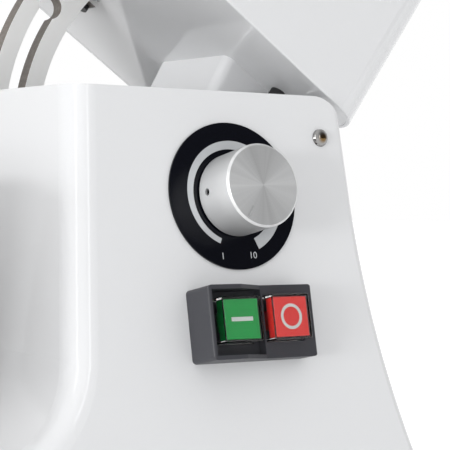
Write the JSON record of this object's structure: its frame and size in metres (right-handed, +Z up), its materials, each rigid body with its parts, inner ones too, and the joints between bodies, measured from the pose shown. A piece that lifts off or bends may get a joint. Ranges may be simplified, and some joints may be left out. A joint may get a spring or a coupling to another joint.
{
  "type": "spiral dough mixer",
  "caption": "Tilting-head spiral dough mixer: white column with speed knob and start and stop switch, lifting head with slotted quadrant, spiral hook, breaker bar and turning bowl.",
  "frame": {"origin": "middle of the machine's box on the floor, its head raised as in the picture", "axes": "+X to the side with the controls, +Y to the rear, where the hinge is, +Z up"},
  "size_m": [0.275, 0.5292, 0.5371],
  "materials": {
    "white_enamel": "gloss white powder coat",
    "stainless_steel": "fine brushed",
    "bright_steel": "bright turned",
    "zinc_plate": "zinc plated",
    "blackened_steel": "blackened",
    "spun_aluminium": "spun face, turned side",
    "satin_aluminium": "satin",
    "dial_black": "gloss black with a silver scale",
    "switch_black": "fine moulded",
    "green_button": "moulded",
    "red_button": "moulded",
    "clear_cap": "clear moulded plastic",
    "black_rubber": "matt",
    "bronze": "turned",
    "motor_grey": "satin",
    "circuit_board": "lacquered",
    "capacitor_sleeve": "shrink sleeve",
    "pot_case": "moulded"
  },
  "bodies": {
    "machine": {"body_shell": "white_enamel", "base_plate": "zinc_plate", "rubber_feet": "black_rubber", "foot_screws": "zinc_plate", "rear_cover": "white_enamel", "rear_cover_screws": "zinc_plate", "cord_gland": "switch_black", "gland_nut": "switch_black", "hinge_pin": "bright_steel", "hinge_plates": "zinc_plate", "hinge_spacers": "zinc_plate", "lock_bush": "bronze", "dial_plate": "dial_black", "speed_pot": "pot_case", "pot_nut": "zinc_plate", "switch_housing": "switch_black", "switch_body": "switch_black", "bowl_bearing": "motor_grey", "bowl_gearbox": "motor_grey", "bowl_motor": "motor_grey", "speed_board": "circuit_board", "board_standoffs": "circuit_board", "board_capacitors": "capacitor_sleeve", "heat_sink": "satin_aluminium", "head_sensor": "switch_black"},
    "head": {"head_shell": "white_enamel", "head_underplate": "white_enamel", "hinge_neck": "white_enamel", "neck_bushes": "bronze", "neck_screws": "zinc_plate", "tilt_quadrant": "satin_aluminium", "quadrant_screws": "blackened_steel", "cable_grommet": "black_rubber", "sensor_magnet": "motor_grey", "head_motor": "motor_grey", "drive_belt": "black_rubber", "spiral_housing": "satin_aluminium", "spiral_bearings": "zinc_plate", "breaker_bar": "stainless_steel", "breaker_nut": "zinc_plate", "bowl_guard": "stainless_steel", "guard_screws": "zinc_plate"},
    "knob": {"speed_knob": "spun_aluminium", "knob_set_screw": "blackened_steel", "pot_shaft": "bright_steel"},
    "start": {"start_button": "green_button", "start_cap": "clear_cap"},
    "stop": {"stop_button": "red_button", "stop_cap": "clear_cap"},
    "lock": {"lock_plunger": "bright_steel", "lock_knob": "switch_black"},
    "spiral": {"spiral_shaft": "bright_steel", "spiral_pulley": "satin_aluminium", "spiral_hook": "stainless_steel"},
    "rotor": {"motor_shaft": "bright_steel", "motor_pulley": "satin_aluminium"},
    "bowl": {"bowl": "stainless_steel", "bowl_carrier": "stainless_steel", "bowl_spindle": "bright_steel"}
  },
  "joints": [
    {"name": "head_tilt", "type": "hinge", "parent": "machine", "child": "head", "pos_m": [0, 0.1775, 0.25544], "axis": [1, 0, 0], "range_deg": [0, 35]},
    {"name": "knob_turn", "type": "hinge", "parent": "machine", "child": "knob", "pos_m": [0.09194, 0.1255, 0.22825], "axis": [0.9781, 0, 0.2079], "range_deg": [-300, 0]},
    {"name": "start_press", "type": "slide", "parent": "machine", "child": "start", "axis": [-0.9781, 0, -0.2079], "range_m": [0, 0.003], "stiffness_N_per_m": 400},
    {"name": "stop_press", "type": "slide", "parent": "machine", "child": "stop", "axis": [-0.9781, 0, -0.2079], "range_m": [0, 0.003], "stiffness_N_per_m": 400},
    {"name": "lock_slide", "type": "slide", "parent": "machine", "child": "lock", "axis": [1, 0, 0], "range_m": [0, 0.0085]},
    {"name": "spiral_spin", "type": "hinge", "parent": "head", "child": "spiral", "pos_m": [0, -0.03729, 0.38386], "axis": [0, 0.5736, 0.8192], "continuous": true},
    {"name": "rotor_spin", "type": "hinge", "parent": "head", "child": "rotor", "pos_m": [0, 0.1159, 0.32787], "axis": [0, 0.5736, 0.8192], "continuous": true},
    {"name": "bowl_spin", "type": "hinge", "parent": "machine", "child": "bowl", "pos_m": [0, -0.1271, 0.131], "axis": [0, 0, 1], "continuous": true}
  ],
  "couplings": [
    {"joint": "rotor_spin", "follows": "spiral_spin", "ratio": 2.5}
  ]
}
